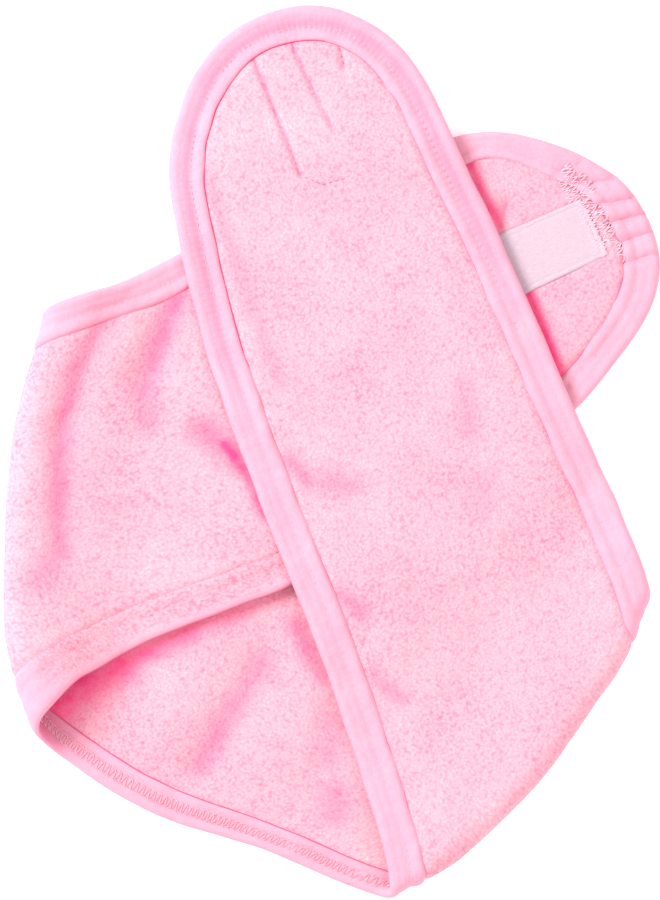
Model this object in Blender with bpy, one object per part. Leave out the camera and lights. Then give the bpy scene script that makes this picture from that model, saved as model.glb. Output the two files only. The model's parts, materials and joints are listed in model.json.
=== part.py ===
"""Spa headband: a terry strip with an edge binding and a touch-tape closure, laid flat in two folds.

The strip is designed flat, in millimetres: s runs along its centreline from the tip of the closing
flap to the tip of the tab, v runs across it and w is the height over its middle surface, positive on
the outer face. lay() carries a flat point to its place in the folded band, and every piece is lofted
through it. The lower edge is at v < 0 and the upper edge at v > 0.
"""
import math

import bmesh
import bpy
import numpy as np

MM = 0.001

# ---- flat pattern
LENGTH = 635.0
HALF_WIDTHS = (           # distance along the strip, half width to the lower edge, to the upper edge
    (0, 38, 40), (46, 47, 41), (92, 52, 45.5), (142, 52, 49), (193, 50.5, 52.5), (244, 54, 52),
    (295, 62, 53.5), (346, 64.5, 54), (396, 58, 54), (447, 55, 54), (498, 55, 54.5), (549, 51, 53),
    (589, 44, 50), (635, 35, 46),
)
END_ROUND = 48.0          # length of each rounded end
END_FULLNESS = 2.19       # 2 is an ellipse, more is squarer
HEADING = -70.5           # degrees in plan, of the closing flap's centreline
CUT_CURVE = ((150.0, 6.1), (330.0, 8.5))    # where the cut bends, and by how many degrees
CUT_BEND_LENGTH = 150.0
TIP_PLACE = (-20.0, 135.0)                  # plan place of the closing flap's tip

# ---- thicknesses
BINDING_WIDTH = 12.0
BINDING_HALF = 1.8        # half the thickness of the folded binding
CAVITY_HALF = 1.0         # half the slot between the binding's legs
BIGHT = 0.9               # binding's thickness round the edge
BIGHT_ROUND = 1.2         # the fold's rounding, along the strip's surface
CLAMPED_HALF = 0.7        # terry squeezed between the legs
TERRY_OUTER = 1.8         # free terry, from the middle surface to the outer face
TERRY_INNER = 1.5         # the same to the inner face
GAP = 0.3                 # between pieces that touch
TAPE_THICKNESS = 1.2
THREAD = 0.8
SEAM_INSET = 1.5          # from a tape's edge to its seam

# ---- folded lay
TABLE_LEVEL = 1.8         # middle surface of a layer that lies on the table
LAYER_STEP = 4.2          # from one layer's middle surface to the next one's
DROP = 20.0               # plan length over which cloth falls off an edge below it
EDGE_CLEAR = 2.0          # how far cloth stays up past that edge
ROLL_FADE = 34.0          # how far a fold lifts the layer above
CREASE_REACH = 60.0       # half the length of a fold, along its crease
CREASE_POWER = 2.5
CREASE_LIMIT = 1.35
CREASE_EASE = 7.0         # the crease's draw at the bound edges, where the cloth beyond lies unstrained
CREASE_FADE = 80.0        # how far the slack in the middle of a fold reaches beyond it
FOLD_UNDER = dict(foot=(60.6, -104.1), normal=-44.1, draws=(7.6, 8.4), radii=(3.6, 3.6))
FOLD_OVER = dict(foot=(-101.2, -29.4), normal=176.5, draws=(4.6, 15.0), radii=(4.6, 6.0))

# ---- hinge lines, tapes
FLAP_HINGE = 110.0        # from the closing flap's tip
TAB_HINGE = LENGTH - 39.5
HINGE_GAP = 0.4
HINGE_CLEAR = 0.1         # hinge axis over the highest point of the cut
TIP_LIFT = 1.4            # the tape under the closing flap holds its tip off the table
TIP_LIFT_FADE = (52.0, 30.0)
TAB_TAPE = dict(start=TAB_HINGE + 1.6, end=LENGTH - 15.5, low=-4.0, high=16.0)
FLAP_TAPE = dict(start=16.0, end=57.0, low=-8.5, high=17.5)
BAR_TACK = dict(start=LENGTH - 14.8, end=LENGTH - 9.5, low=-6.0, high=24.0)

# ---- mesh
CENTRE_STEP = 0.5
FIRST_FOLD_WINDOW = (150.0, 330.0)          # stretches of the strip in which each fold is looked for
SECOND_FOLD_WINDOW = (330.0, 540.0)
ROLL_1_LENGTH = 14.5      # stretch of the centreline that each fold's fine rows cover
ROLL_2_LENGTH = 19.5
FAN_LENGTH = 30.0         # rounded tip whose rows spread from one point of the centreline
FAN_ROWS = 8
ROW_STEP = 10.5
END_ROW_STEP = 4.0
ROLL_STEP = 1.5
PATCH_STEP = 4.0
SKEW_RAMP = 76.0
PROBE = 0.05              # step for slopes
MERGE = 0.00002
SHARP_ANGLE = math.radians(40.0)

TERRY_COLOUR = (0.92, 0.56, 0.70, 1.0)
BINDING_COLOUR = (0.93, 0.50, 0.67, 1.0)
TAPE_COLOUR = (0.86, 0.80, 0.86, 1.0)
LOOP_COLOUR = (0.90, 0.62, 0.74, 1.0)
THREAD_COLOUR = (0.94, 0.66, 0.78, 1.0)


def smooth(x):
    x = np.clip(x, 0.0, 1.0)
    return x * x * (3.0 - 2.0 * x)


# ---------------------------------------------------------------- flat pattern

def heading(s):
    turn = sum(angle * smooth((s - start) / CUT_BEND_LENGTH) for start, angle in CUT_CURVE)
    return np.radians(HEADING + turn)


CENTRE_S = np.arange(0.0, LENGTH + CENTRE_STEP, CENTRE_STEP)
MIDDLE_HEADING = heading(CENTRE_S[:-1] + CENTRE_STEP / 2.0)
CENTRE_X = TIP_PLACE[0] + np.concatenate([[0.0], np.cumsum(np.cos(MIDDLE_HEADING)) * CENTRE_STEP])
CENTRE_Y = TIP_PLACE[1] + np.concatenate([[0.0], np.cumsum(np.sin(MIDDLE_HEADING)) * CENTRE_STEP])


def through(places, values, x):
    """Smooth curve through the given values."""
    slopes = np.gradient(values, places)
    i = np.clip(np.searchsorted(places, x) - 1, 0, len(places) - 2)
    gap = places[i + 1] - places[i]
    t = (x - places[i]) / gap
    low = (1 + 2 * t) * (1 - t) ** 2 * values[i] + t * (1 - t) ** 2 * gap * slopes[i]
    return low + t * t * (3 - 2 * t) * values[i + 1] + t * t * (t - 1) * gap * slopes[i + 1]


def half_width(s, side):
    table = np.array(HALF_WIDTHS, dtype=float)
    from_tip = np.minimum(s, LENGTH - s)
    rest = np.clip(1.0 - from_tip / END_ROUND, 0.0, 1.0)
    end = (1.0 - rest ** END_FULLNESS) ** (1.0 / END_FULLNESS)
    return end * through(table[:, 0], table[:, 1 if side < 0 else 2], s)


def pattern(s, v):
    """Plan place of a flat point before any fold."""
    turn = heading(s)
    x = np.interp(s, CENTRE_S, CENTRE_X) - v * np.sin(turn)
    y = np.interp(s, CENTRE_S, CENTRE_Y) + v * np.cos(turn)
    return x, y


# ---------------------------------------------------------------- folds

def past_crease(x, y, fold):
    """Distance past the line where the fold's roll begins, place along the fold, and roll radius."""
    nx, ny = math.cos(math.radians(fold["normal"])), math.sin(math.radians(fold["normal"]))
    dx, dy = x - fold["foot"][0], y - fold["foot"][1]
    along = dy * nx - dx * ny
    share = np.clip((along + CREASE_REACH) / (2 * CREASE_REACH), 0.0, 1.0)
    radius = fold["radii"][0] + (fold["radii"][1] - fold["radii"][0]) * share
    draw = np.where(along < 0.0, fold["draws"][0], fold["draws"][1])
    crease = -draw * np.minimum(np.abs(along) / CREASE_REACH, CREASE_LIMIT) ** CREASE_POWER
    return dx * nx + dy * ny - (crease - radius), along, radius, crease


def turn_over(x, y, fold):
    """Plan place after the fold, the angle rolled through and the distance beyond the roll."""
    past, along, radius, crease = past_crease(x, y, fold)
    angle = np.clip(past / radius, 0.0, math.pi)
    beyond = np.maximum(past - math.pi * radius, 0.0)
    out = crease - radius + np.minimum(past, 0.0) + radius * np.sin(angle) - beyond
    out = out - 2.0 * (crease + CREASE_EASE) * smooth(beyond / CREASE_FADE)
    nx, ny = math.cos(math.radians(fold["normal"])), math.sin(math.radians(fold["normal"]))
    return fold["foot"][0] + out * nx - along * ny, fold["foot"][1] + out * ny + along * nx, angle, beyond


def plan(s, v):
    x, y = pattern(s, v)
    x1, y1, angle1, beyond1 = turn_over(x, y, FOLD_UNDER)
    x2, y2, angle2, beyond2 = turn_over(x1, y1, FOLD_OVER)
    under = beyond1 > 0.0
    return np.where(under, x2, x1), np.where(under, y2, y1), under, angle1, angle2, beyond2


def outline(first, last, inside):
    """Plan polygon of the strip between two distances, kept where inside() holds."""
    s = np.linspace(first, last, 200)
    sides = []
    for side in (-1, 1):
        x, y, under, angle1, angle2, beyond2 = plan(s, side * half_width(s, side))
        keep = inside(under, angle2, beyond2)
        sides.append(np.stack([x[keep], y[keep]], axis=1))
    return np.concatenate([sides[0], sides[1][::-1]])


def cover(x, y, polygon):
    """1 over the polygon, falling to 0 as cloth drops off its edge."""
    a, b = polygon, np.roll(polygon, -1, axis=0)
    points = np.stack([np.ravel(x), np.ravel(y)], axis=1)[:, None, :]
    edge = b - a
    t = np.clip(((points - a) * edge).sum(-1) / np.maximum((edge ** 2).sum(-1), 1e-9), 0.0, 1.0)
    far = np.sqrt((((a + t[..., None] * edge) - points) ** 2).sum(-1)).min(axis=1)
    level = (a[:, 1] > points[..., 1]) != (b[:, 1] > points[..., 1])
    rise = np.where(edge[:, 1] == 0.0, 1e-9, edge[:, 1])
    left = points[..., 0] < a[:, 0] + (points[..., 1] - a[:, 1]) * edge[:, 0] / rise
    inside = (level & left).sum(axis=1) % 2 == 1
    far = np.where(inside, 0.0, far)
    return 1.0 - smooth((far - EDGE_CLEAR) / DROP).reshape(np.shape(x))


BOTTOM_LAYER = outline(FIRST_FOLD_WINDOW[0], SECOND_FOLD_WINDOW[1],
                       lambda under, angle, beyond: under & (angle < 0.5 * math.pi))
MIDDLE_LAYER = outline(SECOND_FOLD_WINDOW[0], LENGTH, lambda under, angle, beyond: under & (beyond > 0.0))


def middle_surface(s, v):
    x, y, under, angle1, angle2, beyond2 = plan(s, v)
    flat_x, flat_y = pattern(s, v)
    past1, _, radius1, _ = past_crease(flat_x, flat_y, FOLD_UNDER)
    x1, y1, _, _ = turn_over(flat_x, flat_y, FOLD_UNDER)
    _, _, radius2, _ = past_crease(x1, y1, FOLD_OVER)
    low = TABLE_LEVEL + LAYER_STEP * cover(x, y, BOTTOM_LAYER)
    lift = TIP_LIFT * (1.0 - smooth((s - TIP_LIFT_FADE[0]) / TIP_LIFT_FADE[1]))
    top = low + LAYER_STEP * cover(x, y, MIDDLE_LAYER) + lift
    near1 = 1.0 - smooth(-past1 / ROLL_FADE)
    near2 = 1.0 - smooth(beyond2 / ROLL_FADE)
    roll1 = TABLE_LEVEL + radius1 * (1.0 + np.cos(angle1))
    roll2 = TABLE_LEVEL + radius2 * (1.0 - np.cos(angle2))
    z_top = np.where(angle1 > 0.0, roll1, top + (roll1 - top) * near1)
    z_over = np.where(beyond2 > 0.0, low + (roll2 - low) * near2, roll2)
    return np.stack([x, y, np.where(under, z_over, z_top)], axis=-1)


def lay(s, v, w):
    """World place, in millimetres, of flat points at height w over the middle surface."""
    s, v, w = np.broadcast_arrays(*(np.asarray(part, dtype=float) for part in (s, v, w)))
    along = middle_surface(s + PROBE, v) - middle_surface(s - PROBE, v)
    across = middle_surface(s, v + PROBE) - middle_surface(s, v - PROBE)
    normal = np.cross(along, across)
    normal /= np.linalg.norm(normal, axis=-1, keepdims=True)
    return middle_surface(s, v) + w[..., None] * normal


# ---------------------------------------------------------------- rows across the strip

def crease_on_strip(fold, window, carry):
    """Where the fold's roll begins: its distance on the centreline, and its lead at each share of width."""
    shares = np.linspace(-1.0, 1.0, 41)
    s = np.arange(window[0], window[1], PROBE)
    found = []
    for share in shares:
        side = -1 if share < 0 else 1
        x, y = carry(*pattern(s, share * half_width(s, side)))
        found.append(np.interp(0.0, past_crease(x, y, fold)[0], s))
    found = np.array(found)
    centre = found[len(found) // 2]
    return centre, shares, found - centre


def after_first_fold(x, y):
    return turn_over(x, y, FOLD_UNDER)[:2]


ROLL_1 = crease_on_strip(FOLD_UNDER, FIRST_FOLD_WINDOW, lambda x, y: (x, y))
ROLL_2 = crease_on_strip(FOLD_OVER, SECOND_FOLD_WINDOW, after_first_fold)


def lead(s, share):
    """How far a row leads the centreline at a share of the width: rows lie along the folds near them."""
    total = 0.0
    for (start, shares, leads), length in ((ROLL_1, ROLL_1_LENGTH), (ROLL_2, ROLL_2_LENGTH)):
        coming = smooth((s - start + SKEW_RAMP) / SKEW_RAMP)
        leaving = smooth((start + length + SKEW_RAMP - s) / SKEW_RAMP)
        strength = coming * leaving
        total = total + strength * np.interp(share, shares, leads)
    return total


RAY = np.linspace(0.0, 1.0, 49)


def fan_ray(s_edge, side, far_tip):
    """Straight ray from the fan's centre to the rounded edge."""
    centre = LENGTH - FAN_LENGTH if far_tip else FAN_LENGTH
    edge = side * half_width(np.float64(s_edge), side)
    return np.stack([centre + RAY * (s_edge - centre), RAY * edge], axis=1)


def row_ray(s_row, side):
    s = s_row + lead(s_row, side * RAY)
    return np.stack([s, side * RAY * half_width(s, side)], axis=1)


def fan_rows(far_tip):
    steps = FAN_LENGTH * (1.0 - np.cos(np.linspace(0.0, math.pi / 2.0, FAN_ROWS + 1)[:-1]))
    places = LENGTH - steps[::-1] if far_tip else steps
    return [tuple(fan_ray(place, side, far_tip) for side in (-1, 1)) for place in places]


def body_rows(places):
    return [tuple(row_ray(place, side) for side in (-1, 1)) for place in places]


def spaced(first, last, step):
    return np.linspace(first, last, max(2, int(math.ceil((last - first) / step)) + 1))


def root_places():
    start1, start2 = ROLL_1[0], ROLL_2[0]
    stops = (
        (FLAP_HINGE + HINGE_GAP / 2, start1 - ROLL_STEP, ROW_STEP),
        (start1, start1 + ROLL_1_LENGTH, ROLL_STEP),
        (start1 + ROLL_1_LENGTH + ROW_STEP / 2, start2 - ROLL_STEP, ROW_STEP),
        (start2, start2 + ROLL_2_LENGTH, ROLL_STEP),
        (start2 + ROLL_2_LENGTH + ROW_STEP / 2, TAB_HINGE - HINGE_GAP / 2, ROW_STEP),
    )
    return np.concatenate([spaced(*stop) for stop in stops])


ROOT_ROWS = body_rows(root_places())
FLAP_ROWS = fan_rows(False) + body_rows(spaced(FAN_LENGTH, FLAP_HINGE - HINGE_GAP / 2, END_ROW_STEP))
TAB_ROWS = body_rows(spaced(TAB_HINGE + HINGE_GAP / 2, LENGTH - FAN_LENGTH, END_ROW_STEP)) + fan_rows(True)


# ---------------------------------------------------------------- sections

def edge_sines(rows, side):
    """Sine of the angle between each row and the edge it meets."""
    index = 0 if side < 0 else 1
    edge = np.array([row[index][-1] for row in rows])
    run = np.gradient(edge, axis=0)
    tips = [i for i in (0, len(rows) - 1) if abs(edge[i][1]) < PROBE]
    for i in tips:
        run[i] = (0.0, 1.0)
    ray = np.array([row[index][-1] - row[index][-2] for row in rows])
    cross = run[:, 0] * ray[:, 1] - run[:, 1] * ray[:, 0]
    return np.abs(cross) / (np.linalg.norm(run, axis=1) * np.linalg.norm(ray, axis=1))


def at_depths(ray, sine, depths):
    """Flat points on a row at depths square to the edge."""
    lengths = np.concatenate([[0.0], np.cumsum(np.linalg.norm(np.diff(ray[::-1], axis=0), axis=1))])
    want = np.array(depths) / sine
    return np.stack([np.interp(want, lengths, ray[::-1, k]) for k in (0, 1)], axis=1)


MIDDLE_DEPTH = 6.5        # a line of points under the middle of the binding
TERRY_CLAMPED = (BIGHT + GAP, MIDDLE_DEPTH, BINDING_WIDTH, BINDING_WIDTH + 2 * GAP)
TERRY_DEPTHS = TERRY_CLAMPED + (BINDING_WIDTH + 2 * GAP + 2.0,)
TERRY_SHARES = (0.72, 0.46, 0.22)     # of the way from the centreline to the last depth


def terry_half_row(ray, sine):
    """Flat points from the edge inwards, without the centreline."""
    edge_part = at_depths(ray, sine, TERRY_DEPTHS)
    reach = np.linalg.norm(ray - ray[0], axis=1)
    last = np.linalg.norm(edge_part[-1] - ray[0])
    inner = [np.interp(np.array(TERRY_SHARES) * last, reach, ray[:, k]) for k in (0, 1)]
    return np.concatenate([edge_part, np.stack(inner, axis=1)])


def terry_loops(rows):
    sines = {side: edge_sines(rows, side) for side in (-1, 1)}
    count = len(TERRY_DEPTHS) + len(TERRY_SHARES)
    clamped = np.arange(count) < len(TERRY_CLAMPED)
    outer = np.where(clamped, CLAMPED_HALF, TERRY_OUTER)
    inner = np.where(clamped, CLAMPED_HALF, TERRY_INNER)
    loops = []
    for i, row in enumerate(rows):
        low = terry_half_row(row[0], sines[-1][i])
        high = terry_half_row(row[1], sines[1][i])
        flat = np.concatenate([low, row[0][:1], high[::-1]])
        up = np.concatenate([outer, [TERRY_OUTER], outer[::-1]])
        down = np.concatenate([inner, [TERRY_INNER], inner[::-1]])
        top = lay(flat[:, 0], flat[:, 1], up)
        bottom = lay(flat[:, 0], flat[:, 1], -down)
        loops.append(np.concatenate([top, bottom[::-1]]))
    return loops


BINDING_SECTION = (      # depth from the edge, height over the middle surface
    (BINDING_WIDTH, BINDING_HALF), (MIDDLE_DEPTH, BINDING_HALF), (BIGHT_ROUND, BINDING_HALF),
    (0.0, BINDING_HALF / 2), (0.0, -BINDING_HALF / 2),
    (BIGHT_ROUND, -BINDING_HALF), (MIDDLE_DEPTH, -BINDING_HALF), (BINDING_WIDTH, -BINDING_HALF),
    (BINDING_WIDTH, -CAVITY_HALF), (MIDDLE_DEPTH, -CAVITY_HALF), (BIGHT, -CAVITY_HALF),
    (BIGHT, CAVITY_HALF), (MIDDLE_DEPTH, CAVITY_HALF), (BINDING_WIDTH, CAVITY_HALF),
)


def binding_loops(rows, side):
    sines = edge_sines(rows, side)
    depths, heights = zip(*BINDING_SECTION)
    loops = []
    for i, row in enumerate(rows):
        flat = at_depths(row[0 if side < 0 else 1], sines[i], depths)
        loops.append(lay(flat[:, 0], flat[:, 1], np.array(heights)))
    return loops


def tip_binding_loops(rows, tip_row):
    """The binding round a tip, from the hinge line along one edge and back along the other."""
    low, high = binding_loops(rows, -1), binding_loops(rows, 1)
    if tip_row == 0:
        return low[:0:-1] + high
    return low[:-1] + high[::-1]


def patch_loops(patch, bottom, top):
    """A rectangular piece of tape on the strip."""
    loops = []
    for s in spaced(patch["start"], patch["end"], PATCH_STEP):
        v = spaced(patch["low"], patch["high"], PATCH_STEP)
        upper, lower = lay(s, v, top), lay(s, v, bottom)
        loops.append(np.concatenate([upper, lower[::-1]]))
    return loops


def stitch_ring(patch, bottom):
    """A seam line round a tape, as one endless ribbon."""
    first, last = patch["start"] + SEAM_INSET, patch["end"] - SEAM_INSET
    low, high = patch["low"] + SEAM_INSET, patch["high"] - SEAM_INSET
    corners = [(first, low), (last, low), (last, high), (first, high)]
    centre = np.mean(corners, axis=0)
    loops = []
    for i, corner in enumerate(corners):
        following = corners[(i + 1) % 4]
        for share in (0.0, 0.25, 0.5, 0.75):
            point = np.array(corner) + share * (np.array(following) - corner)
            inward = np.sign(centre - point) * THREAD
            inward = inward if share == 0.0 else inward * (abs(np.array(following) - corner) < PROBE)
            inner = point + inward
            s = np.array([point[0], inner[0], inner[0], point[0]])
            v = np.array([point[1], inner[1], inner[1], point[1]])
            w = bottom + np.array([THREAD / 2, THREAD / 2, 0.0, 0.0])
            loops.append(lay(s, v, w))
    return loops


# ---------------------------------------------------------------- objects

def fabric(name, colour, roughness):
    material = bpy.data.materials.new(name)
    material.use_nodes = True
    shader = material.node_tree.nodes["Principled BSDF"]
    shader.inputs["Base Color"].default_value = colour
    shader.inputs["Roughness"].default_value = roughness
    shader.inputs["Metallic"].default_value = 0.0
    material.diffuse_color = colour
    return material


def loft(name, loops, shift, origin, parent, collection, material, endless=False):
    """One closed solid through equal loops of points, with flat ends unless the last meets the first."""
    mesh_data = bmesh.new()
    origin = np.array(origin)
    rings = [[mesh_data.verts.new((point + shift) * MM - origin) for point in loop] for loop in loops]
    pairs = list(zip(rings, rings[1:])) + ([(rings[-1], rings[0])] if endless else [])
    for ring, following in pairs:
        for i in range(len(ring)):
            j = (i + 1) % len(ring)
            mesh_data.faces.new((ring[i], ring[j], following[j], following[i]))
    if not endless:
        mesh_data.faces.new(rings[0][::-1])
        mesh_data.faces.new(rings[-1])
    bmesh.ops.remove_doubles(mesh_data, verts=mesh_data.verts, dist=MERGE)
    bmesh.ops.dissolve_degenerate(mesh_data, edges=mesh_data.edges, dist=MERGE)
    bmesh.ops.triangulate(mesh_data, faces=mesh_data.faces)
    bmesh.ops.recalc_face_normals(mesh_data, faces=mesh_data.faces)
    mesh = bpy.data.meshes.new(name)
    mesh_data.to_mesh(mesh)
    mesh_data.free()
    mesh.shade_smooth()
    mesh.set_sharp_from_angle(angle=SHARP_ANGLE)
    piece = bpy.data.objects.new(name, mesh)
    piece.data.materials.append(material)
    piece.parent = parent
    collection.objects.link(piece)
    return piece


def hinge_frame(s_hinge, shift):
    """Point and direction of the hinge line across the strip, on top of the cut."""
    v = np.linspace(-half_width(s_hinge, -1), half_width(s_hinge, 1), 41)
    line = lay(np.full_like(v, s_hinge), v, BINDING_HALF) + shift
    direction = line[-1] - line[0]
    direction[2] = 0.0
    direction /= np.linalg.norm(direction)
    point = line[len(line) // 2].copy()
    point[2] = line[:, 2].max() + HINGE_CLEAR
    return point * MM, direction


def empty(name, place, collection):
    frame = bpy.data.objects.new(name, None)
    frame.location = place
    frame.empty_display_size = BINDING_WIDTH * MM
    collection.objects.link(frame)
    return frame


def main():
    for old in list(bpy.data.objects):
        bpy.data.objects.remove(old)
    collection = bpy.data.collections.new("spa_headband")
    bpy.context.scene.collection.children.link(collection)

    terry = fabric("terry", TERRY_COLOUR, 0.95)
    binding = fabric("binding", BINDING_COLOUR, 0.85)
    hook = fabric("hook_tape", TAPE_COLOUR, 0.6)
    loop = fabric("loop_tape", LOOP_COLOUR, 0.9)
    thread = fabric("thread", THREAD_COLOUR, 0.7)

    face = TERRY_OUTER + GAP
    back = -(TERRY_INNER + GAP)
    pieces = {
        "terry_band": ("root", terry_loops(ROOT_ROWS), terry),
        "terry_closing_flap": ("flap", terry_loops(FLAP_ROWS), terry),
        "terry_tab_end": ("tab", terry_loops(TAB_ROWS), terry),
        "binding_lower_edge": ("root", binding_loops(ROOT_ROWS, -1), binding),
        "binding_upper_edge": ("root", binding_loops(ROOT_ROWS, 1), binding),
        "binding_closing_flap": ("flap", tip_binding_loops(FLAP_ROWS, 0), binding),
        "binding_tab_end": ("tab", tip_binding_loops(TAB_ROWS, -1), binding),
        "tab_closure_tape": ("tab", patch_loops(TAB_TAPE, face, face + TAPE_THICKNESS), hook),
        "flap_closure_tape": ("flap", patch_loops(FLAP_TAPE, back - TAPE_THICKNESS, back), loop),
        "tab_bar_tack": ("tab", patch_loops(BAR_TACK, face, face + THREAD), thread),
    }
    seams = {
        "tab_tape_stitching": ("tab", stitch_ring(TAB_TAPE, face + TAPE_THICKNESS + GAP), thread),
        "flap_tape_stitching": ("flap", stitch_ring(FLAP_TAPE, face + GAP), thread),
    }

    points = np.concatenate([np.concatenate(loops) for _, loops, _ in pieces.values()])
    low, high = points.min(axis=0), points.max(axis=0)
    shift = -np.array([(low[0] + high[0]) / 2, (low[1] + high[1]) / 2, low[2]])

    flap_point, flap_axis = hinge_frame(FLAP_HINGE, shift)
    tab_point, tab_axis = hinge_frame(TAB_HINGE, shift)
    places = {"root": np.zeros(3), "flap": flap_point, "tab": tab_point}
    parents = {
        "root": None,
        "flap": empty("closing_flap_hinge", flap_point, collection),
        "tab": empty("tab_hinge", tab_point, collection),
    }
    for group, endless in ((pieces, False), (seams, True)):
        for name, (body, loops, material) in group.items():
            loft(name, loops, shift, places[body], parents[body], collection, material, endless)
    print("shift mm", np.round(shift, 3), "box mm", np.round(low + shift, 3), np.round(high + shift, 3))
    print("flap hinge m", np.round(flap_point, 5), np.round(flap_axis, 5))
    print("tab hinge m", np.round(tab_point, 5), np.round(-tab_axis, 5))


main()
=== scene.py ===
"""Looks of the spa headband: looped terry, bound edges, seams and touch tape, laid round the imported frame.

The strip is drawn flat, in millimetres: s runs along its centreline from the tip of the closing flap to
the tip of the tab, v runs across it and w is the height over its middle surface, positive on the outer
face. place() carries a flat point to the folded cloth, so every thread and seam is laid out flat and
folds with the strip. The lower edge is at v < 0 and the upper edge at v > 0.
"""
import math
from types import SimpleNamespace

import bpy
import numpy as np
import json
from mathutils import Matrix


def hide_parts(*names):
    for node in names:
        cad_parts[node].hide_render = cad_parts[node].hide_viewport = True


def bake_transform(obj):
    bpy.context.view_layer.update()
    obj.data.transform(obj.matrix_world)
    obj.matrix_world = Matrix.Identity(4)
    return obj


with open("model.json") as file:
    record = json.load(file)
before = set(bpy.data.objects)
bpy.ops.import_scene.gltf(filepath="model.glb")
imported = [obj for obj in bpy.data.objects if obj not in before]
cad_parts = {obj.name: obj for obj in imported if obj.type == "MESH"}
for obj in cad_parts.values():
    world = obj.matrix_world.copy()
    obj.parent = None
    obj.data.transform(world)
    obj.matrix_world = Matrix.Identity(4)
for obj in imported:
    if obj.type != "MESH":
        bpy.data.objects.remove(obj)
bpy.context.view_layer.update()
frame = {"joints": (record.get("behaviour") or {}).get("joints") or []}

MM = 0.001
SEED = 7

# ---- flat pattern
LENGTH = 635.0
HALF_WIDTHS = (  # distance along the strip, half width to the lower edge, to the upper edge
    (0, 38, 40), (46, 47, 41), (92, 52, 45.5), (142, 52, 49), (193, 50.5, 52.5), (244, 54, 52),
    (295, 62, 53.5), (346, 64.5, 54), (396, 58, 54), (447, 55, 54), (498, 55, 54.5), (549, 51, 53),
    (589, 44, 50), (635, 35, 46),
)
END_ROUND = 48.0
END_FULLNESS = 2.19  # 2 is an ellipse, more is squarer
HEADING = -70.5
CUT_CURVE = ((150.0, 6.1), (330.0, 8.5))
CUT_BEND_LENGTH = 150.0
SNUG = 2.3  # how far in the second fold's roll is drawn
SNUG_ACROSS = (-68.0, -34.0)  # start and reach
SNUG_ABOVE = 1.2  # how much more at its upper end
SNUG_ALONG = (5.0, 35.0)
SLACK_END = 2.3  # how far in the first fold's roll is drawn at its upper end
SLACK_ALONG = (-5.0, 45.0)
SLACK_ACROSS = (-34.0, 34.0)
TIP_PLACE = (-20.0, 135.0)
BEYOND = 8.0  # the pattern runs on past its tips, so that slopes are smooth there

# ---- folded lay
TABLE_LEVEL = 1.8
LAYER_STEP = 4.2
DROP = 20.0
FLAP_DROP = 46.0  # the closing flap sinks more gently over the layer under it
EDGE_CLEAR = 2.0
ROLL_FADE = 34.0
CREASE_REACH = 60.0
CREASE_POWER = 2.5
CREASE_LIMIT = 1.35
CREASE_EASE = 7.0
CREASE_FADE = 80.0
FOLD_UNDER = dict(foot=(60.6, -104.1), normal=-44.1, draws=(7.6, 8.4), radii=(3.6, 3.6))
FOLD_OVER = dict(foot=(-101.2, -29.4), normal=176.5, draws=(4.6, 15.0), radii=(4.6, 6.0))
FLAP_HINGE = 110.0
TIP_LIFT = 1.4
TIP_LIFT_FADE = (52.0, 30.0)
BOTTOM_SPAN = (150.0, 540.0)  # stretches of the strip in which the two lower layers lie
MIDDLE_SPAN = (330.0, LENGTH)
FIRST_ROLL = ((-60.0, 1.0), (0.0, 1.12), (60.0, 1.0))  # place along the fold, height of the slack roll
SECOND_ROLL = ((-60.0, 1.0), (0.0, 1.0), (40.0, 1.12), (62.0, 1.3))

# ---- cloth
TERRY_OUTER = 1.8
TERRY_INNER = 1.5
CLAMPED_HALF = 0.7  # terry squeezed in the binding
REST_LEVEL = 0.02  # lowest that cloth lies over the table
SPLIT = 277.0  # the strip is two meshes, which meet here under the flap
GRID_STEP = 1.5  # of the folded middle surface
GRID_HALF = 72.0


def smooth(x):
    x = np.clip(x, 0.0, 1.0)
    return x * x * (3.0 - 2.0 * x)


def ramp(x, start, reach):
    """Smooth rise from 0 to 1 over a reach from the start, or the other way where the reach is negative."""
    return smooth((x - start) / reach)


def bell(x):
    return np.exp(-x * x)


def bump(x, at, reach):
    return bell((x - at) / reach)


# ---- flat pattern

def heading(s):
    turn = sum(angle * smooth((s - start) / CUT_BEND_LENGTH) for start, angle in CUT_CURVE)
    return np.radians(HEADING + turn)


CENTRE_STEP = 0.5
CENTRE_S = np.arange(-BEYOND, LENGTH + BEYOND + CENTRE_STEP, CENTRE_STEP)
MIDDLE_HEADING = heading(CENTRE_S[:-1] + CENTRE_STEP / 2.0)
CENTRE_X = np.concatenate([[0.0], np.cumsum(np.cos(MIDDLE_HEADING)) * CENTRE_STEP])
CENTRE_Y = np.concatenate([[0.0], np.cumsum(np.sin(MIDDLE_HEADING)) * CENTRE_STEP])
CENTRE_X += TIP_PLACE[0] - np.interp(0.0, CENTRE_S, CENTRE_X)
CENTRE_Y += TIP_PLACE[1] - np.interp(0.0, CENTRE_S, CENTRE_Y)


def through(places, values, x):
    """Smooth curve through the given values."""
    slopes = np.gradient(values, places)
    i = np.clip(np.searchsorted(places, x) - 1, 0, len(places) - 2)
    gap = places[i + 1] - places[i]
    t = (x - places[i]) / gap
    low = (1 + 2 * t) * (1 - t) ** 2 * values[i] + t * (1 - t) ** 2 * gap * slopes[i]
    return low + t * t * (3 - 2 * t) * values[i + 1] + t * t * (t - 1) * gap * slopes[i + 1]


def half_width(s, side):
    table = np.array(HALF_WIDTHS, dtype=float)
    from_tip = np.maximum(np.minimum(s, LENGTH - s), 0.0)
    rest = np.clip(1.0 - from_tip / END_ROUND, 0.0, 1.0)
    end = (1.0 - rest ** END_FULLNESS) ** (1.0 / END_FULLNESS)
    return end * through(table[:, 0], table[:, 1 if side < 0 else 2], s)


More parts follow.
